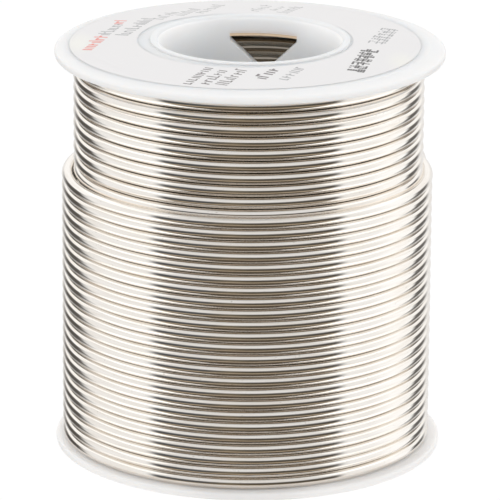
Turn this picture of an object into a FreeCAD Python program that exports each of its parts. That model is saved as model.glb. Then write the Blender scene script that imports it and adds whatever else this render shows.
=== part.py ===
"""A one pound spool of solid solder wire, in millimetres.

A plastic barrel carries a flange at each end. Eight layers of wire are wound on the barrel, and
the outermost one stops part of the way up. The flanges' outer faces slope away from the barrel's
ends, so the spool stands on the lower end of the barrel. The origin is on the spool's axis, level
with that end, and +Z is up along the axis.
"""

import FreeCAD, Part
import Sketcher
import math
import os

from FreeCAD import Placement, Rotation, Vector

SIZES = {
    # the moulded spool
    "spool_height": 59.4,  # from one end of the barrel to the other
    "flange_radius": 27.0,
    "face_radius": 24.9,  # where the outer face of a flange bends down to its rim
    # how far each part of a flange lies in from the end of the barrel
    "hub_drop": 0.27,
    "face_drop": 0.875,
    "rim_drop": 1.36,
    "seat_depth": 2.36,  # its flat inner face, on the barrel's shoulder
    "rim_rounding": 0.45,
    "bore_radius": 12.7,
    "barrel_radius": 14.1,
    "spigot_radius": 13.85,  # the barrel's ends, which the flanges sit on
    "seat_gap": 0.02,
    "mouth_rounding": 0.55,
    "lip_rounding": 0.2,
    "window_width": 9.5,
    "window_drop": 2.6,  # from the end of the barrel to the window's straight edge
    "window_side": 0.9,
    "window_turn": 9.0,  # degrees that the window stands round from the back
    # the paper label
    "label_thickness": 0.1,
    "label_radius": 24.25,
    "label_hole": 14.88,
    "label_shift": 0.7,
    # the wire
    "wire_diameter": 1.575,
    "wire_pitch": 1.607,
    "layer_rise": 1.41,  # from one layer to the next, where turns lie in the grooves below
    "crossing_rise": 0.2,  # more for each layer, where turns cross the ones below
    "outer_layer_lift": 0.2,  # the outermost layer is wound more loosely
    "turns_per_layer": 33,
    "outer_layer_turns": 24,
    "layers": 8,
    "lay_gap": 0.02,
    # where each turn steps across to the next, in degrees around the back of the spool
    "crossing_start": 12.0,
    "crossing_swell": 14.0,
    "crossing_step": 72.0,
    # the wire's free end
    "end_angle": 101.0,
    "end_gap": 0.08,
    "end_straight": 4.0,
    "end_curve_radius": 60.0,
    "end_curve_turn": 13.5,
}

SPIGOT_HOLE = "sizes.spigot_radius + sizes.seat_gap"

doc = FreeCAD.newDocument("solder_wire_spool")
sheet = doc.addObject("Spreadsheet::Sheet", "sizes")


def fill_sheet():
    for row, (name, value) in enumerate(SIZES.items(), start=1):
        sheet.set(f"A{row}", name)
        sheet.set(f"B{row}", str(value))
        sheet.setAlias(f"B{row}", name)
    doc.recompute()


def size(name):
    return float(sheet.get(name))


# ---- the moulded pieces and the label, as bodies with sketches ----


def new_body(name):
    body = doc.addObject("PartDesign::Body", name)
    body.Label = name
    return body


def origin_plane(body, role):
    return next(f for f in body.Origin.OriginFeatures if f.Role == role)


def new_sketch(body, name, role):
    sketch = body.newObject("Sketcher::SketchObject", name)
    sketch.AttachmentSupport = [(origin_plane(body, role), "")]
    sketch.MapMode = "FlatFace"
    return sketch


def bind(sketch, constraint, name, formula):
    index = sketch.addConstraint(constraint)
    sketch.renameConstraint(index, name)
    sketch.setExpression(f"Constraints.{name}", formula)


def draw_outline(sketch, corners):
    """A closed outline of straight lines. Each corner is a pair of formulas on the sheet."""
    places = [
        Vector(*(float(sketch.evalExpression(formula)) for formula in corner), 0)
        for corner in corners
    ]
    count = len(corners)
    for i in range(count):
        sketch.addGeometry(Part.LineSegment(places[i], places[(i + 1) % count]))
    for i in range(count):
        sketch.addConstraint(Sketcher.Constraint("Coincident", i, 2, (i + 1) % count, 1))
    for i, (across, up) in enumerate(corners):
        for kind, formula, value in (("X", across, places[i].x), ("Y", up, places[i].y)):
            side = Sketcher.Constraint(f"Distance{kind}", -1, 1, i, 1, value)
            bind(sketch, side, f"corner_{i}_{kind.lower()}", formula)


def draw_circle(sketch, name, across, radius):
    """A circle on the sketch's X axis. Its place and its radius are formulas on the sheet."""
    place, value = (float(sketch.evalExpression(formula)) for formula in (across, radius))
    index = sketch.addGeometry(Part.Circle(Vector(place, 0, 0), Vector(0, 0, 1), value))
    sketch.addConstraint(Sketcher.Constraint("PointOnObject", index, 3, -1))
    centre = Sketcher.Constraint("DistanceX", -1, 1, index, 3, place)
    bind(sketch, centre, f"{name}_centre", across)
    bind(sketch, Sketcher.Constraint("Radius", index, value), f"{name}_radius", radius)


def turned(body, corners):
    """The outline in the body's XZ plane, turned all the way round Z."""
    sketch = new_sketch(body, f"{body.Name}_outline", "XZ_Plane")
    draw_outline(sketch, corners)
    turning = body.newObject("PartDesign::Revolution", f"{body.Name}_turning")
    turning.Profile = sketch
    turning.ReferenceAxis = (sketch, ["V_Axis"])
    turning.Angle = 360
    doc.recompute()
    return turning


def round_rings(body, name, base, rings, radius):
    """Round the circular edges of the given (radius, height) pairs."""
    names = [
        f"Edge{number}"
        for number, edge in enumerate(base.Shape.Edges, start=1)
        if isinstance(edge.Curve, Part.Circle)
        for ring_radius, height in rings
        if abs(edge.Curve.Radius - ring_radius) < 0.01
        and abs(edge.Curve.Center.z - height) < 0.01
    ]
    assert len(names) == len(rings), f"{body.Name}: {len(names)} edges for {len(rings)} rings"
    rounding = body.newObject("PartDesign::Fillet", name)
    rounding.Base = (base, names)
    rounding.setExpression("Radius", radius)
    body.Tip = rounding
    doc.recompute()
    return rounding


def make_barrel():
    """A tube with a spigot at each end, and a window for the wire's start near the top."""
    body = new_body("spool_barrel")
    shoulder = "sizes.seat_depth"
    top = "sizes.spool_height"
    turning = turned(
        body,
        [
            ("sizes.bore_radius", "0"),
            ("sizes.spigot_radius", "0"),
            ("sizes.spigot_radius", shoulder),
            ("sizes.barrel_radius", shoulder),
            ("sizes.barrel_radius", f"{top} - {shoulder}"),
            ("sizes.spigot_radius", f"{top} - {shoulder}"),
            ("sizes.spigot_radius", top),
            ("sizes.bore_radius", top),
        ],
    )
    ends = (0, size("spool_height"))
    mouths = [(size("bore_radius"), end) for end in ends]
    lips = [(size("spigot_radius"), end) for end in ends]
    rounding = round_rings(body, "mouths", turning, mouths, "sizes.mouth_rounding")
    rounding = round_rings(body, "lips", rounding, lips, "sizes.lip_rounding")
    cut_window(body, rounding)
    body.Placement = Placement(Vector(), Rotation(Vector(0, 0, 1), -size("window_turn")))
    return body


def cut_window(body, before):
    """A window like an upside-down gable: a straight top, short sides, and a 45 degree point."""
    sketch = new_sketch(body, "window_outline", "XZ_Plane")
    half = "sizes.window_width / 2"
    top = "sizes.spool_height - sizes.window_drop"
    foot = f"{top} - sizes.window_side"
    draw_outline(
        sketch,
        [
            (f"-{half}", top),
            (f"-{half}", foot),
            ("0", f"{foot} - {half}"),
            (half, foot),
            (half, top),
        ],
    )
    window = body.newObject("PartDesign::Pocket", "window")
    window.Profile = sketch
    window.Type = "Length"
    window.setExpression("Length", "sizes.barrel_radius + 1")
    window.Reversed = False
    doc.recompute()
    if window.Shape.BoundBox.YMax > 0 and not opens_backwards(window):
        window.Reversed = True
        doc.recompute()
    assert opens_backwards(window), "the window isn't cut at the back"
    assert window.Shape.Volume < before.Shape.Volume - 1, "the window cuts nothing"
    body.Tip = window


def opens_backwards(window):
    """Is the wall open at the window's middle, on the +Y side?"""
    wall = (size("bore_radius") + size("barrel_radius")) / 2
    height = size("spool_height") - size("window_drop") - size("window_side")
    return not window.Shape.isInside(Vector(0, wall, height), 0.01, True)


def make_flange(name, placement):
    """A disc that slopes to a thinner rounded rim, with a hole for the barrel's spigot."""
    body = new_body(name)
    turning = turned(
        body,
        [
            (SPIGOT_HOLE, "sizes.hub_drop"),
            ("sizes.face_radius", "sizes.face_drop"),
            ("sizes.flange_radius", "sizes.rim_drop"),
            ("sizes.flange_radius", "sizes.seat_depth"),
            (SPIGOT_HOLE, "sizes.seat_depth"),
        ],
    )
    rim = size("flange_radius")
    edges = [(rim, size("rim_drop")), (rim, size("seat_depth"))]
    round_rings(body, f"{name}_rim", turning, edges, "sizes.rim_rounding")
    body.Placement = placement
    return body


def face_height(radius):
    """The formula for how high the top flange's sloping face is at a radius."""
    slope = f"(sizes.face_drop - sizes.hub_drop) / (sizes.face_radius - ({SPIGOT_HOLE}))"
    return f"sizes.spool_height - sizes.hub_drop - ({radius} - ({SPIGOT_HOLE})) * {slope}"


def make_label():
    """A ring of paper on the top flange's sloping face, stuck on a little to one side."""
    body = new_body("paper_label")
    inside = "sizes.label_hole - sizes.label_shift"
    outside = "sizes.label_radius + sizes.label_shift"
    thickness = "sizes.label_thickness"
    band = turned(
        body,
        [
            (inside, face_height(inside)),
            (outside, face_height(outside)),
            (outside, f"{face_height(outside)} + {thickness}"),
            (inside, f"{face_height(inside)} + {thickness}"),
        ],
    )
    sketch = new_sketch(body, "label_waste", "XY_Plane")
    draw_circle(sketch, "hole", "-sizes.label_shift", "sizes.label_hole")
    draw_circle(sketch, "edge", "-sizes.label_shift", "sizes.label_radius")
    draw_circle(sketch, "waste", "-sizes.label_shift", "sizes.label_radius + 3 * sizes.label_shift")
    cut = body.newObject("PartDesign::Pocket", "label_cut")
    cut.Profile = sketch
    cut.Type = "Length"
    cut.Reversed = True
    cut.setExpression("Length", "sizes.spool_height")
    doc.recompute()
    assert cut.Shape.Volume < band.Shape.Volume - 1, "the label isn't cut to its ring"
    return body


# ---- the wire, layer by layer, each on one path of tangent arcs ----


def spot(radius, angle, height):
    turn = math.radians(angle)
    return Vector(radius * math.cos(turn), radius * math.sin(turn), height)


def heading(angle):
    turn = math.radians(angle)
    return Vector(-math.sin(turn), math.cos(turn), 0)


def arc_along(start, direction, end):
    """The arc that leaves start in the given direction and ends at end."""
    chord = end - start
    inward = chord.cross(direction).cross(direction).normalize() * -1
    radius = chord.dot(chord) / (2 * chord.dot(inward))
    centre = start + inward * radius
    middle = centre + ((start + end) * 0.5 - centre).normalize() * radius
    return Part.Arc(start, middle, end).toShape()


def step(start, end):
    """Two arcs from one (radius, angle, height) to another, level along the winding at both."""
    first, last = spot(*start), spot(*end)
    out, back = heading(start[1]), heading(end[1])
    chord, both = last - first, out + back
    square = 2 * (1 - out.dot(back))
    linear = 2 * chord.dot(both)
    root = math.sqrt(linear * linear + 4 * square * chord.dot(chord))
    reach = 2 * chord.dot(chord) / (linear + root)
    near, far = first + out * reach, last - back * reach
    middle = (near + far) * 0.5
    return [arc_along(first, out, middle), arc_along(middle, (far - near).normalize(), last)]


def level(radius, start, end, height):
    """An arc that keeps its height all the way."""
    ends = [spot(radius, angle, height) for angle in (start, (start + end) / 2, end)]
    return [Part.Arc(*ends).toShape()]


def through(stops):
    """The arcs through a list of (radius, angle, height) stops."""
    edges = []
    for start, end in zip(stops, stops[1:]):
        same = abs(start[0] - end[0]) < 1e-9 and abs(start[2] - end[2]) < 1e-9
        edges += level(start[0], start[1], end[1], start[2]) if same else step(start, end)
    return edges


def packed_radius(number):
    first = size("barrel_radius") + size("wire_diameter") / 2 + size("lay_gap")
    return first + (number - 1) * size("layer_rise")


def layer_radius(number):
    lift = size("outer_layer_lift") if number == size("layers") else 0
    return packed_radius(number) + lift


def crossing_radius(number):
    return packed_radius(number) + (number - 1) * size("crossing_rise")


def turn_heights(number):
    """The heights of a layer's turns in the order they are wound. Odd layers go down."""
    lowest = size("seat_depth") + size("wire_diameter") / 2 + size("lay_gap")
    last = number == size("layers")
    count = int(size("outer_layer_turns" if last else "turns_per_layer"))
    if number % 2:
        lowest += size("wire_pitch") / 2
        return [lowest + size("wire_pitch") * turn for turn in reversed(range(count))]
    return [lowest + size("wire_pitch") * turn for turn in range(count)]


def crossing_angles():
    """The four angles that divide the crossing: the turns swell out, step across and settle."""
    angles = [size("crossing_start")]
    for part in ("crossing_swell", "crossing_step", "crossing_swell"):
        angles.append(angles[-1] + size(part))
    return angles


def layer_stops(number):
    """A layer's turns. Each is level, then swells over the layer below to step to the next."""
    swell, begin, stepped, settled = crossing_angles()
    inner, outer = layer_radius(number), crossing_radius(number)
    heights = turn_heights(number)
    stops = [(inner, settled, heights[0])]
    for turn, (height, following) in enumerate(zip(heights, heights[1:]), start=1):
        round_once = 360 * turn
        stops += [
            (inner, swell + round_once, height),
            (outer, begin + round_once, height),
            (outer, stepped + round_once, following),
            (inner, settled + round_once, following),
        ]
    stops.append((inner, swell + 360 * len(heights), heights[-1]))
    return stops


def end_stop():
    """Where the wire leaves the winding: the centre of the bend in its free end."""
    last = int(size("layers"))
    height = turn_heights(last)[-1] + size("wire_pitch")
    return crossing_radius(last), size("end_angle"), height


def last_stops():
    """The last turn's own step, on to where the free end leaves the winding."""
    _, begin, stepped, _ = crossing_angles()
    last = int(size("layers"))
    radius, angle, height = end_stop()
    room = math.degrees((size("wire_diameter") / 2 + size("end_gap")) / radius)
    round_all = 360 * int(size("outer_layer_turns"))
    return [
        (radius, begin + round_all, turn_heights(last)[-1]),
        (radius, stepped + round_all, height),
        (radius, angle - room + round_all, height),
    ]


def swept(edges, start, direction):
    section = Part.makeCircle(size("wire_diameter") / 2, start, direction)
    path = Part.Wire(edges)
    shape = path.makePipeShell([Part.Wire([section])], True, True)
    filled = math.pi * size("wire_diameter") ** 2 / 4 * path.Length
    assert abs(shape.Volume / filled - 1) < 0.002, "the wire's volume isn't its section's sweep"
    return shape, path.Length


def make_layer(number):
    stops = layer_stops(number)
    if number == size("layers"):
        stops += last_stops()
    shape, length = swept(through(stops), spot(*stops[0]), heading(stops[0][1]))
    feature = doc.addObject("Part::Feature", f"wire_layer_{number}")
    feature.Shape = shape
    feature.Label = feature.Name
    return feature, length


def make_free_end():
    """A short tail that leaves the winding on a tangent and bends out a little at its tip.

    Its ball end stands for the bend in the wire, where the tail is pulled away or pressed back.
    """
    radius, angle, height = end_stop()
    start, along = Vector(0, 0, 0), heading(angle)
    elbow = along * size("end_straight")
    outward = Vector(math.cos(math.radians(angle)), math.sin(math.radians(angle)), 0)
    centre = elbow + outward * size("end_curve_radius")
    turn = math.radians(size("end_curve_turn"))
    curve = [
        centre - (outward * math.cos(a) - along * math.sin(a)) * size("end_curve_radius")
        for a in (0, turn / 2, turn)
    ]
    edges = [Part.LineSegment(start, elbow).toShape(), Part.Arc(*curve).toShape()]
    tail, length = swept(edges, start, along)
    ball = Part.makeSphere(size("wire_diameter") / 2)
    feature = doc.addObject("Part::Feature", "wire_free_end")
    feature.Shape = tail.fuse(ball).removeSplitter()
    feature.Label = feature.Name
    feature.Placement = Placement(spot(radius, angle, height), Rotation())
    return feature, length


# ---- the whole spool ----


def check(pieces):
    for thing in doc.Objects:
        assert "Invalid" not in thing.State and "Error" not in thing.State, thing.Name
    for piece in pieces:
        assert not piece.Shape.isNull() and piece.Shape.isValid(), piece.Label
        assert len(piece.Shape.Solids) == 1, piece.Label


def main():
    fill_sheet()
    upright = Placement()
    upside_down = Placement(Vector(0, 0, size("spool_height")), Rotation(Vector(1, 0, 0), 180))
    pieces = [
        make_barrel(),
        make_flange("bottom_flange", upright),
        make_flange("top_flange", upside_down),
        make_label(),
    ]
    wire_length = 0
    for number in range(1, int(size("layers")) + 1):
        layer, length = make_layer(number)
        pieces.append(layer)
        wire_length += length
    free_end, length = make_free_end()
    pieces.append(free_end)
    wire_length += length
    doc.recompute()
    check(pieces)
    os.makedirs("parts", exist_ok=True)
    for piece in pieces:
        piece.Shape.exportStep(f"parts/{piece.Label}.step")
        print(f"{piece.Label}: {piece.Shape.Volume:.1f} mm3")
    print(f"wire: {wire_length / 1000:.2f} m")
    print("the free end bends about", end_stop(), spot(*end_stop()))


main()
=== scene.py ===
"""A one pound spool of solder wire, in soft white studio light. Sizes are in millimetres."""

import math
import random

import bpy
import numpy as np
from mathutils import Matrix, Vector


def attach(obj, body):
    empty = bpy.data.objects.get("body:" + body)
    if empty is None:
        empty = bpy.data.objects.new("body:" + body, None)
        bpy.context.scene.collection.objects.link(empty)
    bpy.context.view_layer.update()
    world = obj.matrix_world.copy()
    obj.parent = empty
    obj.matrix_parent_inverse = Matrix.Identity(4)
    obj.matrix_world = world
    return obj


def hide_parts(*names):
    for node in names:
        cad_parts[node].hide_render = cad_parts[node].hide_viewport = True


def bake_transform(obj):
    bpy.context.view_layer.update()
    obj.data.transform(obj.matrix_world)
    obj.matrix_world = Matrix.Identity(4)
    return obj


MM = 0.001
RANDOM = random.Random(11)

# the moulded spool: each drop and depth is measured down from the barrel's end
HEIGHT = 59.4
HUB_RADIUS, HUB_DROP = 13.87, 0.27
FACE_RADIUS, FACE_DROP = 24.9, 0.875
RIM_RADIUS, RIM_DROP = 27.0, 1.36
SEAT_DEPTH = 2.36
BORE_RADIUS = 12.7
BARREL_RADIUS = 14.1
WINDOW_TOP = HEIGHT - 2.6  # the height of the window's straight edge

# the label
LABEL_HOLE, LABEL_RADIUS, LABEL_SHIFT, PAPER = 14.88, 24.25, 0.7, 0.1
LABEL_EDGE = 0.012  # how high the pressed-down edges of the label lie
LABEL_TAPER = 0.6  # how far in from its edges the label reaches its full height
# each wrinkle: its angle, its radius, its length, its width and its height
WRINKLES = [
    (-150, 22.6, 2.4, 0.35, 0.05),
    (-146, 21.6, 1.6, 0.25, 0.04),
    (-14, 23.0, 5.0, 0.3, 0.045),
    (-26, 22.3, 3.0, 0.3, 0.035),
    (-60, 23.6, 1.5, 0.2, 0.03),
]

# the winding
WIRE = 0.795  # the wire's radius, a little over the real one, so that gaps between turns are fine
WIRE_7, WIRE_8 = 0.808, 0.8  # the same in the two layers that show
FIRST_RADIUS, LAYER_RISE, CROSSING_RISE = 14.9075, 1.41, 0.2
SIDE_LIFT, OUTER_LIFT = 0.13, 0.2  # how much looser layers 7 and 8 lie at both sides
OFF_CENTRE = 0.3  # how far the outermost layer's centre lies to one side
LOWEST, PITCH = 3.1675, 1.607
TURNS, OUTER_TURNS = 33, 24
# layer 7's uncovered turns lie further apart: their highest, their pitch and their number
SLACK_TOP, SLACK_PITCH, SLACK_TURNS = 55.95, 1.677, 10
# layer 1, seen through the window, is one even helix, held down under the flange at its top
FIRST_TOP, FIRST_STOP = 56.4, 56.2
# degrees round from +X, past the back: a turn swells out, steps to the next and settles again
LEAVE, BEGIN, STEPPED, SETTLED = 12.0, 26.0, 98.0, 112.0
MIDWAY = (BEGIN + STEPPED) / 2

# the free end: where it takes over from the last turn, and where it bends
TAIL_FROM, TAIL_BEND = 94.5, 101.0
TAIL_STRAIGHT, TAIL_CURVE, TAIL_TURN = 4.0, 60.0, 13.5

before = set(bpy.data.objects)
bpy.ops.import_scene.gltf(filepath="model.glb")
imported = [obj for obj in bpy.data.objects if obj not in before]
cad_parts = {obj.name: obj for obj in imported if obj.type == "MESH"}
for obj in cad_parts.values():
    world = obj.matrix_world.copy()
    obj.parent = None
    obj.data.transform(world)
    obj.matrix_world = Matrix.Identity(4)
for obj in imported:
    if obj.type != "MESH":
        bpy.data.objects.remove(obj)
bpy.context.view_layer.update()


# ---- meshes from arrays of points ----


def new_object(name, mesh, material, body, smooth=True):
    mesh.polygons.foreach_set("use_smooth", [smooth] * len(mesh.polygons))
    mesh.materials.append(material)
    thing = bpy.data.objects.new(name, mesh)
    bpy.context.scene.collection.objects.link(thing)
    if body:
        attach(thing, body)
    return thing


def mesh_from(name, points, faces):
    """A mesh in metres from points in millimetres and rows of four corners."""
    mesh = bpy.data.meshes.new(name)
    points = np.asarray(points, float) * MM
    faces = np.asarray(faces, np.int32)
    mesh.vertices.add(len(points))
    mesh.vertices.foreach_set("co", points.ravel())
    mesh.loops.add(faces.size)
    mesh.loops.foreach_set("vertex_index", faces.ravel())
    mesh.polygons.add(len(faces))
    mesh.polygons.foreach_set("loop_start", np.arange(0, faces.size, 4, dtype=np.int32))
    mesh.polygons.foreach_set("loop_total", np.full(len(faces), 4, np.int32))
    mesh.update(calc_edges=True)
    mesh.validate()
    return mesh


def grid_faces(rows, columns, join_rows=False, join_columns=True):
    """Rows of four corners that join a grid of points, closed one way, both ways or neither."""
    across = np.arange(columns if join_columns else columns - 1)
    along = np.arange(rows if join_rows else rows - 1)
    i, j = np.meshgrid(along, across, indexing="ij")
    after_i, after_j = (i + 1) % rows, (j + 1) % columns
    corners = [i * columns + j, i * columns + after_j, after_i * columns + after_j]
    corners.append(after_i * columns + j)
    return np.stack([corner.ravel() for corner in corners], axis=1)


def lathe(name, outline, steps, material, body):
    """A closed outline of (radius, height) pairs, turned round the Z axis."""
    outline = np.asarray(outline, float)
    turn = np.linspace(0, 2 * math.pi, steps, endpoint=False)
    points = np.empty((steps, len(outline), 3))
    points[:, :, 0] = np.cos(turn)[:, None] * outline[None, :, 0]
    points[:, :, 1] = np.sin(turn)[:, None] * outline[None, :, 0]
    points[:, :, 2] = outline[None, :, 1]
    faces = grid_faces(steps, len(outline), join_rows=True)
    return new_object(name, mesh_from(name, points.reshape(-1, 3), faces), material, body)


def rounded(corners, steps=6):
    """A closed outline whose (radius, height, rounding) corners are rounded off by arcs."""
    result = []
    count = len(corners)
    for index, (radius, height, rounding) in enumerate(corners):
        here = np.array([radius, height])
        before = np.array(corners[index - 1][:2]) - here
        after = np.array(corners[(index + 1) % count][:2]) - here
        before, after = before / np.linalg.norm(before), after / np.linalg.norm(after)
        half = math.acos(max(-1, min(1, before @ after))) / 2
        reach = rounding / math.tan(half)
        middle = (before + after) / np.linalg.norm(before + after)
        centre = here + middle * rounding / math.sin(half)
        first, last = here + before * reach, here + after * reach
        for step in range(steps + 1):
            share = step / steps
            spoke = (first - centre) * (1 - share) + (last - centre) * share
            result.append(centre + spoke / np.linalg.norm(spoke) * rounding)
    return result


def spaced(outline, longest):
    """The closed outline with points added, so that no side is longer than this."""
    result = []
    for index, here in enumerate(outline):
        after = outline[(index + 1) % len(outline)]
        pieces = max(1, math.ceil(np.linalg.norm(np.subtract(after, here)) / longest))
        for piece in range(pieces):
            result.append(np.add(here, np.subtract(after, here) * piece / pieces))
    return result


# ---- materials ----


class Nodes:
    """A short way to write a material's nodes."""

    def __init__(self, tree):
        self.tree = tree
        tree.nodes.clear()

    def add(self, kind, **sockets):
        node = self.tree.nodes.new(kind)
        for name, value in sockets.items():
            self.put(node, name, value)
        return node

    def put(self, node, name, value):
        socket = node.inputs[int(name[1:]) if name[0] == "_" and name[1:].isdigit() else name]
        if isinstance(value, bpy.types.NodeSocket):
            self.tree.links.new(value, socket)
        else:
            socket.default_value = value

    def math(self, operation, first, second=0.0, third=0.0):
        node = self.add("ShaderNodeMath", _0=first, _1=second, _2=third)
        node.operation = operation
        return node.outputs[0]

    def scaled(self, vector, scale):
        node = self.add("ShaderNodeVectorMath", _0=vector, _1=scale)
        node.operation = "MULTIPLY"
        return node.outputs[0]

    def noise(self, vector, scale, detail=2.0, roughness=0.5):
        node = self.add("ShaderNodeTexNoise", Vector=vector, Scale=scale, Detail=detail)
        self.put(node, "Roughness", roughness)
        return node.outputs["Fac"]

    def spread(self, value, low, high, start=0.0, end=1.0):
        """Maps low to high on to start to end, clamped, and smoothly."""
        node = self.add("ShaderNodeMapRange", Value=value)
        node.interpolation_type = "SMOOTHSTEP"
        for name, number in zip(("From Min", "From Max", "To Min", "To Max"), (low, high, start, end)):
            node.inputs[name].default_value = number
        return node.outputs[0]

    def mix(self, share, first, second):
        node = self.tree.nodes.new("ShaderNodeMix")
        node.data_type = "RGBA"
        self.put(node, "_0", share)
        self.put(node, "_6", first)
        self.put(node, "_7", second)
        return node.outputs[2]

    def ramp(self, value, stops):
        node = self.add("ShaderNodeValToRGB", Fac=value)
        elements = node.color_ramp.elements
        while len(elements) < len(stops):
            elements.new(0.5)
        for element, (place, color) in zip(elements, stops):
            element.position = place
            element.color = (*color, 1.0)
        return node.outputs["Color"]

    def bump(self, height, distance, strength):
        node = self.add("ShaderNodeBump", Height=height, Distance=distance, Strength=strength)
        return node.outputs["Normal"]

    def attribute(self, name):
        node = self.tree.nodes.new("ShaderNodeAttribute")
        node.attribute_name = name
        return node.outputs["Vector"]

    def place(self):
        return self.tree.nodes.new("ShaderNodeTexCoord").outputs["Object"]

    def split(self, vector):
        """The x, y and z of a vector."""
        node = self.tree.nodes.new("ShaderNodeSeparateXYZ")
        self.tree.links.new(vector, node.inputs[0])
        return node.outputs

    def surface(self, **sockets):
        shader = self.tree.nodes.new("ShaderNodeBsdfPrincipled")
        for name, value in sockets.items():
            self.put(shader, name.replace("_", " "), value)
        output = self.tree.nodes.new("ShaderNodeOutputMaterial")
        self.tree.links.new(shader.outputs[0], output.inputs["Surface"])
        return shader


def new_material(name):
    material = bpy.data.materials.new(name)
    material.use_nodes = True
    return material, Nodes(material.node_tree)


def solder_material(name, bright, warm, glow=0.0):
    """Bright drawn wire: fine lines along it, small pits, and a faint warm film.

    A painted glow brightens the lower side of each turn, for the turns that are seen through the
    window: an emission that stands in for the light reaching them down the bore.
    """
    material, n = new_material(name)
    along = n.attribute("along")
    lines = n.noise(n.scaled(along, (90.0, 6500.0, 6500.0)), 1.0, 3.0, 0.6)
    fine = n.noise(n.scaled(along, (420.0, 21000.0, 21000.0)), 1.0, 2.0, 0.5)
    cloud = n.noise(n.scaled(along, (60.0, 700.0, 700.0)), 1.0, 3.0, 0.6)
    film = n.noise(n.scaled(along, (110.0, 1800.0, 1800.0)), 1.0, 4.0, 0.65)
    pits = n.noise(n.scaled(along, (2600.0, 5200.0, 5200.0)), 1.0, 2.0, 0.5)
    pitted = n.spread(pits, 0.7, 0.78)
    height = n.math("MULTIPLY_ADD", lines, 1.0, n.math("MULTIPLY", fine, 0.4))
    height = n.math("SUBTRACT", height, n.math("MULTIPLY", pitted, 0.8))
    color = n.mix(n.spread(film, 0.35, 0.75), bright, warm)
    color = n.mix(n.math("MULTIPLY", pitted, 0.6), color, (0.36, 0.3, 0.24, 1))
    rough = n.spread(cloud, 0.3, 0.75, 0.08, 0.14)
    rough = n.math("MULTIPLY_ADD", n.spread(fine, 0.4, 0.7), 0.04, rough)
    normal = n.bump(height, 0.000005, 0.6)
    shader = n.surface(Base_Color=color, Metallic=1.0, Roughness=rough, Normal=normal)
    # painted light: an emission on the lower side of each turn, stronger along the fine lines
    if glow:
        down = n.split(along)[2]
        face = n.spread(down, 0.35 * WIRE * MM, 0.6 * WIRE * MM, 0.0, glow)
        face = n.math("MULTIPLY", face, n.spread(lines, 0.4, 0.62, 0.5, 1.3))
        n.put(shader, "Emission Color", (1.0, 0.9, 0.78, 1))
        n.put(shader, "Emission Strength", face)
    return material


def plastic_material(name, glow=None, painted_tone=1.0):
    """Satin white plastic, slightly translucent, with faint swirls and fine grain.

    A glow is painted light, an emission that stands in for the light that soaks through the wall, less
    of it in the middle: the heights that it grows between, and its strength. The barrel's end face has
    none. A painted tone darkens the plastic, as painted shade.
    """
    material, n = new_material(name)
    place = n.place()
    swirl = n.noise(place, 90.0, 3.0, 0.5)
    grain = n.noise(place, 2600.0, 2.0, 0.5)
    # painted shade: the tone darkens both colours of the plastic
    pale, deep = (np.array(color) * painted_tone for color in ((0.815, 0.819, 0.822), (0.785, 0.79, 0.795)))
    color = n.mix(swirl, (*deep, 1), (*pale, 1))
    rough = n.spread(swirl, 0.3, 0.7, 0.3, 0.42)
    height = n.math("MULTIPLY_ADD", swirl, 2.0, n.math("MULTIPLY", grain, 0.2))
    shader = n.surface(
        Base_Color=color, Roughness=rough, Normal=n.bump(height, 0.00002, 0.5), IOR=1.5
    )
    shader.inputs["Specular IOR Level"].default_value = 0.35
    shader.inputs["Subsurface Weight"].default_value = 1.0
    shader.inputs["Subsurface Radius"].default_value = (1.0, 0.88, 0.78)
    shader.inputs["Subsurface Scale"].default_value = 0.003
    # painted light: the glow is an emission by height, in place of the light that soaks through the
    # plastic
    if glow:
        x, _, z = n.split(place)
        low, high, strong = glow
        wall = n.spread(z, low * MM, high * MM, 0.0, strong)
        below_the_end = n.spread(z, (HEIGHT - 0.5) * MM, (HEIGHT - 0.2) * MM, 1.0, 0.0)
        to_the_sides = n.spread(n.math("ABSOLUTE", x), 4.0 * MM, 11.0 * MM, 0.55, 1.0)
        painted_glow = n.math("MULTIPLY", n.math("MULTIPLY", wall, below_the_end), to_the_sides)
        n.put(shader, "Emission Color", (1.0, 0.985, 0.97, 1))
        n.put(shader, "Emission Strength", painted_glow)
    return material


def paper_material():
    """Smooth coated paper with faint fibres and two patches that glue has yellowed."""
    material, n = new_material("label_paper_coated")
    place = n.place()
    fibres = n.noise(place, 1500.0, 4.0, 0.6)
    cloud = n.noise(place, 110.0, 3.0, 0.5)
    across, ahead, _ = n.split(place)
    color = n.mix(cloud, (0.765, 0.755, 0.76, 1), (0.79, 0.78, 0.78, 1))
    for x, y, reach in ((-23.6, -1.0, 7.5), (20.6, -10.5, 7.0)):
        dx = n.math("MULTIPLY", n.math("SUBTRACT", across, x * MM), 2.4)
        dy = n.math("SUBTRACT", ahead, y * MM)
        away = n.math("SQRT", n.math("ADD", n.math("MULTIPLY", dx, dx), n.math("MULTIPLY", dy, dy)))
        away = n.math("MULTIPLY_ADD", cloud, 0.004, away)
        share = n.spread(away, 0.3 * reach * MM, 1.3 * reach * MM, 0.8, 0.0)
        color = n.mix(share, color, (0.83, 0.825, 0.775, 1))
    rough = n.spread(cloud, 0.3, 0.7, 0.42, 0.55)
    n.surface(Base_Color=color, Roughness=rough, Normal=n.bump(fibres, 0.000012, 0.5))
    return material


def ink_material(name, color):
    """Printed ink, a little uneven."""
    material, n = new_material(name)
    patchy = n.spread(n.noise(n.place(), 5200.0, 3.0, 0.6), 0.35, 0.75)
    pale = tuple(value + (0.75 - value) * 0.45 for value in color)
    n.surface(Base_Color=n.mix(patchy, (*color, 1), (*pale, 1)), Roughness=0.55)
    return material


# ---- the winding ----


def smoothstep(value):
    value = np.clip(value, 0, 1)
    return value * value * (3 - 2 * value)


def packed_radius(layer):
    return FIRST_RADIUS + (layer - 1) * LAYER_RISE


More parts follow.
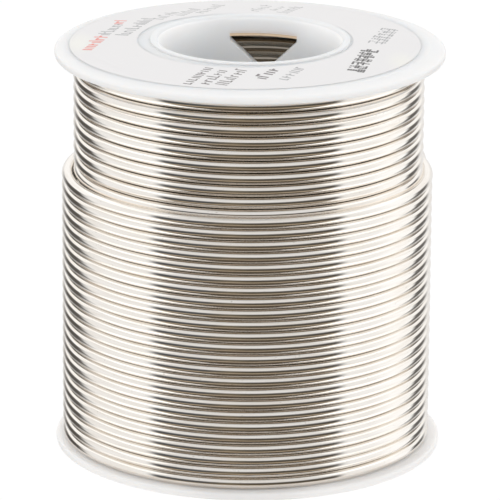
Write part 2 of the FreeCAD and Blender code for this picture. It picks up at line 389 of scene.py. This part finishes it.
def turn_heights(layer):
    """The heights of a layer's turns in the order they are wound. Odd layers go down."""
    if layer == 8:
        return [LOWEST + PITCH * turn for turn in range(OUTER_TURNS + 1)]
    if layer == 6:
        above = turn_heights(7)
        between = [(high + low) / 2 for high, low in zip(above, above[1:])]
        return [LOWEST] + between[::-1]
    if layer == 7:
        slack = [SLACK_TOP - SLACK_PITCH * turn for turn in range(SLACK_TURNS)]
        low = LOWEST + PITCH / 2
        rest = TURNS - SLACK_TURNS
        return slack + [slack[-1] - (slack[-1] - low) * (turn + 1) / rest for turn in range(rest)]
    if layer == 1:
        return [min(FIRST_STOP, FIRST_TOP - PITCH * turn) for turn in range(TURNS)]
    heights = [LOWEST + PITCH * turn for turn in range(TURNS)]
    return [height + PITCH / 2 for height in reversed(heights)] if layer % 2 else heights


def winding(layer, angles):
    """The (radius, height) of a layer's wire at angles in degrees, counted on from its start."""
    heights = np.array(turn_heights(layer))
    loose = smoothstep((np.abs(np.cos(np.radians(angles))) - 0.7) / 0.3)
    inner = packed_radius(layer) + {7: SIDE_LIFT, 8: OUTER_LIFT}.get(layer, 0.0) * loose
    outer = packed_radius(layer) + CROSSING_RISE * (layer - 1)
    turn = np.floor((angles - SETTLED) / 360.0)
    within = angles - 360.0 * turn
    late = within - 360.0
    number = turn + smoothstep((late - BEGIN) / (STEPPED - BEGIN))
    if layer == 1:
        number = (angles - SETTLED) / 360.0
    swell = smoothstep((late - LEAVE) / (BEGIN - LEAVE)) * (
        1 - smoothstep((late - STEPPED) / (SETTLED - STEPPED))
    )
    if layer == 8:
        swell = np.where((turn >= OUTER_TURNS - 1) & (late > BEGIN), 1.0, swell)
    number = np.clip(number, 0, len(heights) - 1)
    low = np.floor(number).astype(int)
    high = np.minimum(low + 1, len(heights) - 1)
    height = heights[low] + (heights[high] - heights[low]) * (number - low)
    return inner + (outer - inner) * swell, height


def wander(angles, reach, seed):
    """A slow, smooth and repeatable wandering to either side, along the whole of a layer."""
    chooser = random.Random(seed)
    total = np.zeros_like(angles)
    for _ in range(7):
        pace, phase = chooser.uniform(0.35, 3.1), chooser.uniform(0, 2 * math.pi)
        total += np.sin(np.radians(angles) * pace + phase)
    return total / 7 * reach


def polar(radius, angles, height, aside=0.0):
    turn = np.radians(angles)
    return np.stack([radius * np.cos(turn) - aside, radius * np.sin(turn), height], axis=1)


def climb(stops, step, aside):
    """The wire's way up from one layer to the next, through (angle, radius, height) stops."""
    angles = np.arange(stops[0][0], stops[-1][0], step)
    places, radii, heights = (np.array(column, float) for column in zip(*stops))
    share = (angles[:, None] - places[None, :-1]) / (places[1:] - places[:-1])[None, :]
    share = smoothstep(share)
    radius = radii[0] + (share * (radii[1:] - radii[:-1])[None, :]).sum(axis=1)
    height = heights[0] + (share * (heights[1:] - heights[:-1])[None, :]).sum(axis=1)
    return polar(radius, angles, height, aside)


def off_centre(layer, angles):
    """How far to one side the wire lies. The end that joins the tail lies centrally."""
    aside = OFF_CENTRE * {7: 0.45, 8: 1.0}.get(layer, 0.2)
    if layer == 8:
        whole = 360.0 * (OUTER_TURNS - 1)
        return aside * (1 - smoothstep((angles - whole - 340.0) / 80.0))
    return np.full_like(angles, aside)


def layer_path(layer, per_turn):
    """The centre line of a layer, with the climb that leads to it where that can be seen."""
    step = 360.0 / per_turn
    count = OUTER_TURNS if layer == 8 else TURNS
    last = 360.0 * count + (TAIL_FROM if layer == 8 else LEAVE)
    angles = np.arange(SETTLED, last + step / 2, step)
    angles[-1] = last
    radius, height = winding(layer, angles)
    ease = smoothstep((angles - SETTLED) / 40.0) * smoothstep((last - angles) / 40.0)
    radius = radius + wander(angles, 0.02, 40 + layer) * ease
    height = height + wander(angles, 0.03, 60 + layer) * ease
    aside = off_centre(layer, angles)
    path = polar(radius, angles, height, aside)
    inside = packed_radius(layer - 1)
    if layer == 7:
        stops = [(LEAVE, inside, 54.59), (BEGIN, inside + 0.25, 54.9), (MIDWAY, 23.0, 55.7)]
        stops += [(STEPPED, 23.9, 56.05), (SETTLED, radius[0], height[0])]
        path = np.concatenate([climb(stops, step, aside[0]), path])
    if layer == 8:
        stops = [(LEAVE, inside, 3.971), (BEGIN, inside + 0.25, 3.9), (MIDWAY, 24.5, 3.2)]
        stops += [(STEPPED, 25.95, LOWEST), (SETTLED, radius[0], height[0])]
        path = np.concatenate([climb(stops, step, aside[0]), path])
    return path


def wire_mesh(name, path, around, thick=WIRE, pinch=None, joined=""):
    """A wire along a path of points. Both ends are rounded off, but for the one that is joined.

    The pinch gives the share of the width that is left, by the distance from the last point.
    """
    tangent = np.gradient(path, axis=0)
    tangent /= np.linalg.norm(tangent, axis=1)[:, None]
    outward = path * [1, 1, 0]
    outward -= tangent * (outward * tangent).sum(axis=1)[:, None]
    outward /= np.linalg.norm(outward, axis=1)[:, None]
    downward = np.cross(tangent, outward)
    lengths = np.linalg.norm(np.diff(path, axis=0), axis=1)
    along = np.concatenate([[0], np.cumsum(lengths)])
    turn = np.linspace(0, 2 * math.pi, around, endpoint=False)
    cosine, sine = np.cos(turn), np.sin(turn)
    rings, marks = [], []

    def add_ring(index, radius, flat=1.0, shift=0.0):
        centre = path[index] + tangent[index] * shift
        ring = centre + radius * (
            flat * cosine[:, None] * outward[index] + sine[:, None] * downward[index]
        )
        rings.append(ring)
        where = np.full(around, along[index] + shift)
        marks.append(np.stack([where, WIRE * cosine, WIRE * sine], axis=1))

    rounded_off = ((0.0, 0.0), (0.55, 0.0), (0.7, 0.0), (0.76, 0.015), (thick, 0.06))
    butted = ((0.0, 0.0), (0.7, 0.0), (0.998 * thick, 0.0), (thick, 0.001), (thick, 0.004))
    for radius, shift in butted if joined == "start" else rounded_off:
        add_ring(0, radius, 1.0, shift)
    for index in range(1, len(path) - 1):
        flat = pinch(along[-1] - along[index]) if pinch else 1.0
        add_ring(index, thick, flat)
    flat = pinch(0.0) if pinch else 1.0
    for radius, shift in reversed(butted if joined == "end" else rounded_off):
        add_ring(len(path) - 1, radius, flat, -shift)
    points = np.concatenate(rings)
    mesh = mesh_from(name, points, grid_faces(len(rings), around))
    if len(mesh.vertices) == len(points):
        values = np.concatenate(marks) * MM
        attribute = mesh.attributes.new("along", "FLOAT_VECTOR", "POINT")
        attribute.data.foreach_set("vector", values.ravel())
    return mesh


def tail_path():
    """From the last turn, straight off the winding, then curling gently away from it."""
    whole = 360.0 * OUTER_TURNS
    angles = np.linspace(TAIL_FROM, TAIL_BEND, 9)
    radius, height = winding(8, angles + whole)
    points = list(polar(radius, angles, height))
    turn = math.radians(TAIL_BEND)
    away = np.array([math.cos(turn), math.sin(turn), 0])
    forward = np.array([-math.sin(turn), math.cos(turn), 0])
    start = points[-1]
    for distance in np.arange(0.5, TAIL_STRAIGHT, 0.5):
        points.append(start + forward * distance)
    elbow = start + forward * TAIL_STRAIGHT
    for share in np.linspace(0, 1, 26):
        bend = math.radians(TAIL_TURN) * share
        sideways = forward * math.sin(bend) + away * (1 - math.cos(bend))
        points.append(elbow + sideways * TAIL_CURVE)
    return np.array(points)


def snipped(distance):
    """The share of the wire's width that the cutters left, by the distance from its tip."""
    return 1.0 - 0.42 * (1 - min(1.0, distance / 1.3)) ** 1.6


def build_winding():
    solder = solder_material("bright_solder", (0.92, 0.885, 0.84, 1), (0.86, 0.805, 0.735, 1))
    # painted shade: layers 1 and 2 get a dark copy of the solder, for the dark inside of the spool
    # that they reflect; its glow is painted light
    painted_shade_solder = solder_material("shaded_solder", (0.2, 0.175, 0.14, 1), (0.14, 0.115, 0.085, 1), glow=0.27)
    finest = {7: (160, 18), 8: (184, 20)}
    for layer in range(1, 9):
        per_turn, around = finest.get(layer, (96, 12))
        thick = {7: WIRE_7, 8: WIRE_8}.get(layer, WIRE)
        path = layer_path(layer, per_turn)
        joined = "end" if layer == 8 else ""
        mesh = wire_mesh(f"solder_layer_{layer}", path, around, thick, None, joined)
        thing = new_object(mesh.name, mesh, painted_shade_solder if layer < 3 else solder, "spool")
        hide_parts(f"wire_layer_{layer}")
    mesh = wire_mesh("solder_tail", tail_path(), 20, WIRE_8, snipped, "start")
    tail = new_object(mesh.name, mesh, solder, None)
    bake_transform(tail)
    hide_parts("wire_free_end")


# ---- the moulded spool ----


def build_flanges():
    """The lower flange is painted darker, as shade, and glows a little with painted light, in place of
    the light that soaks in from its rim.
    """
    plastics = {
        # painted shade: the tones 0.8 and 0.97 darken one white plastic, the lower flange most; the
        # lower flange's glow is painted light
        "bottom_flange": plastic_material("white_plastic_lower", (-1.0, 0.5, 0.14), 0.8),
        "top_flange": plastic_material("white_plastic_upper", None, 0.97),
    }
    corners = [
        (HUB_RADIUS, HUB_DROP, 0.05),
        (FACE_RADIUS, FACE_DROP, 0.6),
        (RIM_RADIUS, RIM_DROP, 0.44),
        (RIM_RADIUS, SEAT_DEPTH, 0.44),
        (HUB_RADIUS, SEAT_DEPTH, 0.05),
    ]
    outline = spaced(rounded(corners), 1.6)
    for name, turned_over in (("bottom_flange", False), ("top_flange", True)):
        shape = [(r, HEIGHT - z) if turned_over else (r, z) for r, z in outline]
        shape = shape if turned_over else shape[::-1]
        thing = lathe(f"moulded_{name}", shape, 240, plastics[name], "spool")
        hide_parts(name)


def face_height(radius):
    slope = (FACE_DROP - HUB_DROP) / (FACE_RADIUS - HUB_RADIUS)
    return HEIGHT - HUB_DROP - (radius - HUB_RADIUS) * slope


def build_label(paper):
    """The paper ring, with a few shallow wrinkles and bumps where it was pressed on."""
    across, around = 40, 288
    turn = np.linspace(0, 2 * math.pi, around, endpoint=False)
    ring = np.linspace(LABEL_HOLE, LABEL_RADIUS, across)
    ring = np.concatenate([[LABEL_HOLE + 0.03], ring[1:-1], [LABEL_RADIUS - 0.03]])
    x = ring[:, None] * np.cos(turn)[None, :] - LABEL_SHIFT
    y = ring[:, None] * np.sin(turn)[None, :]
    radius = np.hypot(x, y)
    lift = np.zeros_like(radius)
    for angle, place, length, width, height in WRINKLES:
        at = np.array([math.cos(math.radians(angle)), math.sin(math.radians(angle))])
        inward = (radius - place) / width
        sideways = (x * -at[1] + y * at[0]) / length
        ahead = (x * at[0] + y * at[1]) > 0
        lift += np.where(ahead, height * np.exp(-(inward**2) - sideways**2), 0)
    edge = np.minimum(ring - LABEL_HOLE, LABEL_RADIUS - ring)[:, None]
    pressed = np.clip(edge / LABEL_TAPER, 0, 1)
    top = face_height(radius) + LABEL_EDGE + (PAPER * 0.75 - LABEL_EDGE) * pressed + lift
    bottom = face_height(radius) + 0.004
    edge_x = [LABEL_HOLE * np.cos(turn) - LABEL_SHIFT, LABEL_RADIUS * np.cos(turn) - LABEL_SHIFT]
    edge_y = [LABEL_HOLE * np.sin(turn), LABEL_RADIUS * np.sin(turn)]
    edges = [face_height(np.hypot(a, b)) + 0.009 for a, b in zip(edge_x, edge_y)]
    rows = [np.stack([edge_x[0], edge_y[0], edges[0]], axis=1)]
    rows += [np.stack([x[i], y[i], top[i]], axis=1) for i in range(across)]
    rows.append(np.stack([edge_x[1], edge_y[1], edges[1]], axis=1))
    rows += [np.stack([x[i], y[i], bottom[i]], axis=1) for i in (across - 1, 0)]
    faces = grid_faces(len(rows), around, join_rows=True)
    mesh = mesh_from("printed_label", np.concatenate(rows), faces[:, ::-1])
    thing = new_object("printed_label", mesh, paper, "spool")
    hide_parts("paper_label")


class Print:
    """Thin flat marks on the label, gathered by ink. A line of marks runs along one direction."""

    def __init__(self):
        self.points, self.faces = {}, {}

    def mark(self, ink, corners):
        """A four-cornered patch of ink from (x, y) corners, counter-clockwise."""
        points = self.points.setdefault(ink, [])
        faces = self.faces.setdefault(ink, [])
        first = len(points)
        for lift in (0.076, 0.088):
            for x, y in corners:
                points.append((x, y, face_height(math.hypot(x, y)) + lift))
        a, b = first, first + 4
        faces.append((b, b + 1, b + 2, b + 3))
        faces.append((a + 3, a + 2, a + 1, a))
        for i in range(4):
            j = (i + 1) % 4
            faces.append((a + i, a + j, b + j, b + i))

    def bar(self, ink, line, start, end, low, high):
        """A bar on a line, from start to end along it and from low to high across it."""
        x, y, angle = line
        along = (math.cos(math.radians(angle)), math.sin(math.radians(angle)))
        up = (-along[1], along[0])
        corners = []
        for s, t in ((start, low), (end, low), (end, high), (start, high)):
            corners.append((x + along[0] * s + up[0] * t, y + along[1] * s + up[1] * t))
        self.mark(ink, corners)

    def build(self, inks):
        for ink, material in inks.items():
            mesh = mesh_from(f"print_{ink}", self.points[ink], self.faces[ink])
            new_object(mesh.name, mesh, material, "spool", smooth=False)


def code_line(pr, ink, line, length, tall, stroke, gap):
    """A line of small made-up strokes: posts and short bars at random, that say nothing."""
    place = 0.0
    while place < length - stroke:
        kind = RANDOM.random()
        height = tall if RANDOM.random() < 0.3 else tall * 0.68
        wide = stroke * RANDOM.uniform(0.9, 1.2)
        pr.bar(ink, line, place, place + wide, 0.0, height)
        if kind < 0.45:
            reach = place + wide + stroke * RANDOM.uniform(1.2, 2.0)
            level = RANDOM.choice((0.0, height * 0.5, height - stroke))
            pr.bar(ink, line, place + wide, reach, level, level + stroke)
            place = reach
        else:
            place += wide
        place += gap * RANDOM.uniform(0.8, 1.5)


def dot_line(pr, ink, line, cells, pitch, dot):
    """Cells of dots like a batch code, each with a random pattern that says nothing."""
    for cell in range(cells):
        rows = RANDOM.sample(range(7), 3)
        columns = RANDOM.sample(range(4), 2)
        for row in range(7):
            for column in range(4):
                if row in rows or column in columns and RANDOM.random() < 0.75:
                    s, t = (cell * 5 + column) * pitch[0], row * pitch[1]
                    pr.bar(ink, line, s - dot[0], s + dot[0], t - dot[1], t + dot[1])


def build_print():
    pr = Print()
    code_line(pr, "red", (-21.7, -4.9, 73), 7.6, 2.0, 0.36, 0.4)
    code_line(pr, "grey", (-19.5, 2.9, 73), 6.2, 1.9, 0.28, 0.38)
    code_line(pr, "red", (-17.9, 9.2, 73), 2.4, 1.8, 0.3, 0.35)
    code_line(pr, "grey", (-16.9, 2.2, 70), 10.6, 2.0, 0.28, 0.4)
    code_line(pr, "pale", (-12.3, 11.2, 62), 5.4, 1.9, 0.24, 0.4)
    code_line(pr, "pale", (-9.3, 13.4, 62), 5.6, 1.9, 0.24, 0.4)
    code_line(pr, "pale", (-6.6, 14.9, 62), 6.6, 1.9, 0.24, 0.4)
    code_line(pr, "pale", (1.2, 16.1, 64), 4.9, 1.8, 0.22, 0.4)
    code_line(pr, "pale", (3.6, 17.0, 62), 2.9, 1.0, 0.22, 0.4)
    code_line(pr, "pale", (5.3, 15.1, 65), 5.8, 1.8, 0.22, 0.4)
    code_line(pr, "dark", (-7.9, -22.4, 67), 7.8, 1.75, 0.25, 0.36)
    code_line(pr, "dark", (-5.5, -22.5, 67), 7.0, 1.75, 0.25, 0.36)
    code_line(pr, "dark", (-3.1, -22.9, 67), 7.0, 1.75, 0.25, 0.36)
    code_line(pr, "dark", (2.1, -20.2, 66), 5.0, 1.9, 0.36, 0.42)
    code_line(pr, "grey", (5.0, -20.5, 66), 5.9, 1.9, 0.25, 0.36)
    dot_line(pr, "black", (15.2, -15.8, 78), 7, (0.333, 0.35), (0.17, 0.15))
    dot_line(pr, "grey", (18.4, -1.4, 76), 6, (0.32, 0.36), (0.13, 0.12))
    inks = {
        "red": ink_material("ink_red", (0.8, 0.2, 0.16)),
        "grey": ink_material("ink_grey", (0.36, 0.36, 0.37)),
        "pale": ink_material("ink_pale", (0.45, 0.45, 0.45)),
        "dark": ink_material("ink_dark", (0.13, 0.11, 0.11)),
        "black": ink_material("ink_black", (0.03, 0.025, 0.025)),
    }
    pr.build(inks)


def build_window_edge():
    """The window's moulded top edge, reaching a little into the opening, with painted light on it: its
    tan colour and faint glow stand in for the light that comes back off the solder.
    """
    material, n = new_material("painted_light_window_edge")
    # painted reflected light: two tan colours, a little uneven, and a faint warm emission
    painted_tone = n.noise(n.place(), 900.0, 3.0, 0.6)
    color = n.mix(painted_tone, (0.76, 0.6, 0.44, 1), (0.7, 0.53, 0.37, 1))
    shader = n.surface(Base_Color=color, Roughness=0.5)
    n.put(shader, "Emission Color", (0.85, 0.62, 0.38, 1))
    n.put(shader, "Emission Strength", 0.12)
    turn = np.radians(np.linspace(59.0, 103.0, 40))
    inner, outer = BORE_RADIUS + 0.04, BARREL_RADIUS - 0.04
    low, high = WINDOW_TOP - 0.42, WINDOW_TOP + 0.02
    section = [(inner, low + 0.12), (inner + 0.12, low), (outer, low), (outer, high), (inner, high)]
    points = [(r * math.cos(t), r * math.sin(t), z) for t in turn for r, z in section]
    faces = grid_faces(len(turn), len(section))
    mesh = mesh_from("window_top_edge", points, faces)
    new_object(mesh.name, mesh, material, "spool", smooth=False)


def build_spool():
    build_flanges()
    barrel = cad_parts["spool_barrel"]
    barrel.data.materials.clear()
    # painted light: the barrel glows towards its top end, standing in for light in the bore
    barrel.data.materials.append(plastic_material("white_plastic_barrel", (53.0, 59.0, 0.25)))
    build_window_edge()
    build_label(paper_material())
    build_print()


# ---- the studio ----


def build_floor():
    material, n = new_material("studio_floor")
    patch = n.noise(n.place(), 3.0, 2.0)
    color = n.mix(patch, (0.9, 0.9, 0.9, 1), (0.92, 0.92, 0.92, 1))
    shader = n.surface(Base_Color=color, Roughness=0.8)
    output = next(node for node in n.tree.nodes if node.type == "OUTPUT_MATERIAL")
    glow = n.add("ShaderNodeEmission", Color=(1, 1, 1, 1), Strength=1.02)
    light_path = n.tree.nodes.new("ShaderNodeLightPath")
    choose = n.tree.nodes.new("ShaderNodeMixShader")
    n.put(choose, "_0", light_path.outputs["Is Camera Ray"])
    n.put(choose, "_1", shader.outputs[0])
    n.put(choose, "_2", glow.outputs[0])
    n.tree.links.new(choose.outputs[0], output.inputs["Surface"])
    steps = 12
    ticks = np.linspace(-3000, 3000, steps)
    x, y = np.meshgrid(ticks, ticks)
    points = np.stack([x.ravel(), y.ravel(), np.full(x.size, -0.02)], axis=1)
    faces = grid_faces(steps, steps, join_columns=False)
    floor = new_object("floor", mesh_from("floor", points, faces), material, None)
    floor.visible_glossy = False
    floor.visible_diffuse = False


def build_light():
    """White panels at both sides, behind and overhead, with dark strips between them.

    In front there is a dark room over a brown bench. Bearings are measured from the front, -Y.
    """
    world = bpy.data.worlds.new("studio")
    bpy.context.scene.world = world
    world.use_nodes = True
    n = Nodes(world.node_tree)
    x, y, z = n.split(n.tree.nodes.new("ShaderNodeTexCoord").outputs["Generated"])
    bearing = n.math("ARCTAN2", x, n.math("MULTIPLY", y, -1.0))
    share = n.math("MULTIPLY_ADD", bearing, 0.5 / math.pi, 0.5)
    rise = n.math("MULTIPLY", n.math("ARCSINE", z), 180.0 / math.pi)

    def at(degrees):
        """Where a bearing lies on a ramp that goes all the way round."""
        return 0.5 + degrees / 360.0

    left, right, back = (0.66, 0.66, 0.66), (0.78, 0.785, 0.79), (0.62, 0.615, 0.61)
    sides = n.ramp(
        share,
        [
            (at(-180), back),
            (at(-162), back),
            (at(-150), (0.22, 0.215, 0.21)),
            (at(-143), (0.07, 0.065, 0.06)),
            (at(-122), (0.07, 0.065, 0.06)),
            (at(-117), (0.4, 0.4, 0.4)),
            (at(-110), left),
            (at(-58), left),
            (at(58), (0.66, 0.66, 0.66)),
            (at(84), (0.68, 0.68, 0.68)),
            (at(100), right),
            (at(121), right),
            (at(126), (0.09, 0.086, 0.082)),
            (at(141), (0.11, 0.106, 0.102)),
            (at(149), back),
            (at(180), back),
        ],
    )
    ahead = n.ramp(
        share,
        [
            (at(-56), (0.065, 0.067, 0.07)),
            (at(-26), (0.065, 0.065, 0.065)),
            (at(-10), (0.12, 0.102, 0.075)),
            (at(2), (0.065, 0.057, 0.045)),
            (at(56), (0.065, 0.059, 0.052)),
        ],
    )
    bench = n.ramp(
        n.math("DIVIDE", rise, -90.0),
        [
            (0.3, (0.3, 0.245, 0.175)),
            (0.4, (0.3, 0.245, 0.175)),
            (0.47, (0.07, 0.058, 0.045)),
            (1.0, (0.06, 0.048, 0.036)),
        ],
    )
    height = n.math("DIVIDE", rise, 90.0)
    over_front = n.ramp(
        height,
        [
            (0.3, (0.55, 0.55, 0.555)),
            (0.5, (0.58, 0.58, 0.58)),
            (0.72, (0.5, 0.5, 0.5)),
            (1.0, (0.25, 0.25, 0.25)),
        ],
    )
    over_sides = n.ramp(
        height,
        [
            (0.3, (1.0, 1.0, 1.0)),
            (0.5, (0.9, 0.9, 0.9)),
            (0.75, (0.52, 0.515, 0.51)),
            (1.0, (0.45, 0.445, 0.44)),
        ],
    )
    aside = n.math("ABSOLUTE", bearing)
    on_left = n.spread(bearing, math.radians(-55.5), math.radians(-64.5))
    on_right = n.spread(bearing, math.radians(57.0), math.radians(66.0))
    beside = n.math("MAXIMUM", on_left, on_right)
    behind = n.spread(aside, math.radians(108.0), math.radians(120.0))
    front = n.mix(n.spread(rise, -19.0, -25.0), ahead, bench)
    sides = n.mix(n.spread(rise, -22.0, -45.0), sides, (0.98, 0.97, 0.95, 1))
    color = n.mix(beside, front, sides)
    high_back = n.math("MULTIPLY", behind, n.spread(rise, 3.0, 11.0))
    color = n.mix(high_back, color, (0.74, 0.735, 0.73, 1))
    lid = n.mix(beside, n.spread(rise, 10.0, 24.0), n.spread(rise, 26.0, 40.0))
    color = n.mix(lid, color, n.mix(beside, over_front, over_sides))
    light_path = n.tree.nodes.new("ShaderNodeLightPath")
    soft = n.mix(n.spread(rise, 10.0, 40.0), (0.68, 0.67, 0.66, 1), (0.78, 0.78, 0.78, 1))
    color = n.mix(light_path.outputs["Is Diffuse Ray"], color, soft)
    room = n.add("ShaderNodeBackground", Color=color, Strength=1.42)
    plain = n.add("ShaderNodeBackground", Color=(1, 1, 1, 1), Strength=1.0)
    choose = n.tree.nodes.new("ShaderNodeMixShader")
    n.put(choose, "_0", light_path.outputs["Is Camera Ray"])
    n.put(choose, "_1", room.outputs[0])
    n.put(choose, "_2", plain.outputs[0])
    output = n.tree.nodes.new("ShaderNodeOutputWorld")
    n.tree.links.new(choose.outputs[0], output.inputs["Surface"])
    bpy.context.scene.view_settings.view_transform = "Standard"


def build_camera():
    """The viewing angle: 17 degrees down from the front, from 0.65 m, tilted by a hair."""
    down, tilt = 0.298, 0.0068
    aside, away, above = 0.363, 610.35, 214.885
    right = Vector((math.cos(tilt), 0, math.sin(tilt)))
    level = Vector((-math.sin(tilt), 0, math.cos(tilt)))
    ahead = Vector((0, 1, 0))
    up = ahead * math.sin(down) + level * math.cos(down)
    forward = ahead * math.cos(down) - level * math.sin(down)
    place = right * aside - ahead * away + level * above + Vector((0, 0, RIM_DROP))
    data = bpy.data.cameras.new("camera")
    data.sensor_width = 36.0
    data.lens = 328.8
    data.clip_start, data.clip_end = 0.05, 20.0
    camera = bpy.data.objects.new("camera", data)
    bpy.context.scene.collection.objects.link(camera)
    turn = Matrix((right, up, -forward)).transposed()
    camera.matrix_world = Matrix.Translation(place * MM) @ turn.to_4x4()
    bpy.context.scene.camera = camera


build_spool()
build_winding()
build_floor()
build_light()
build_camera()
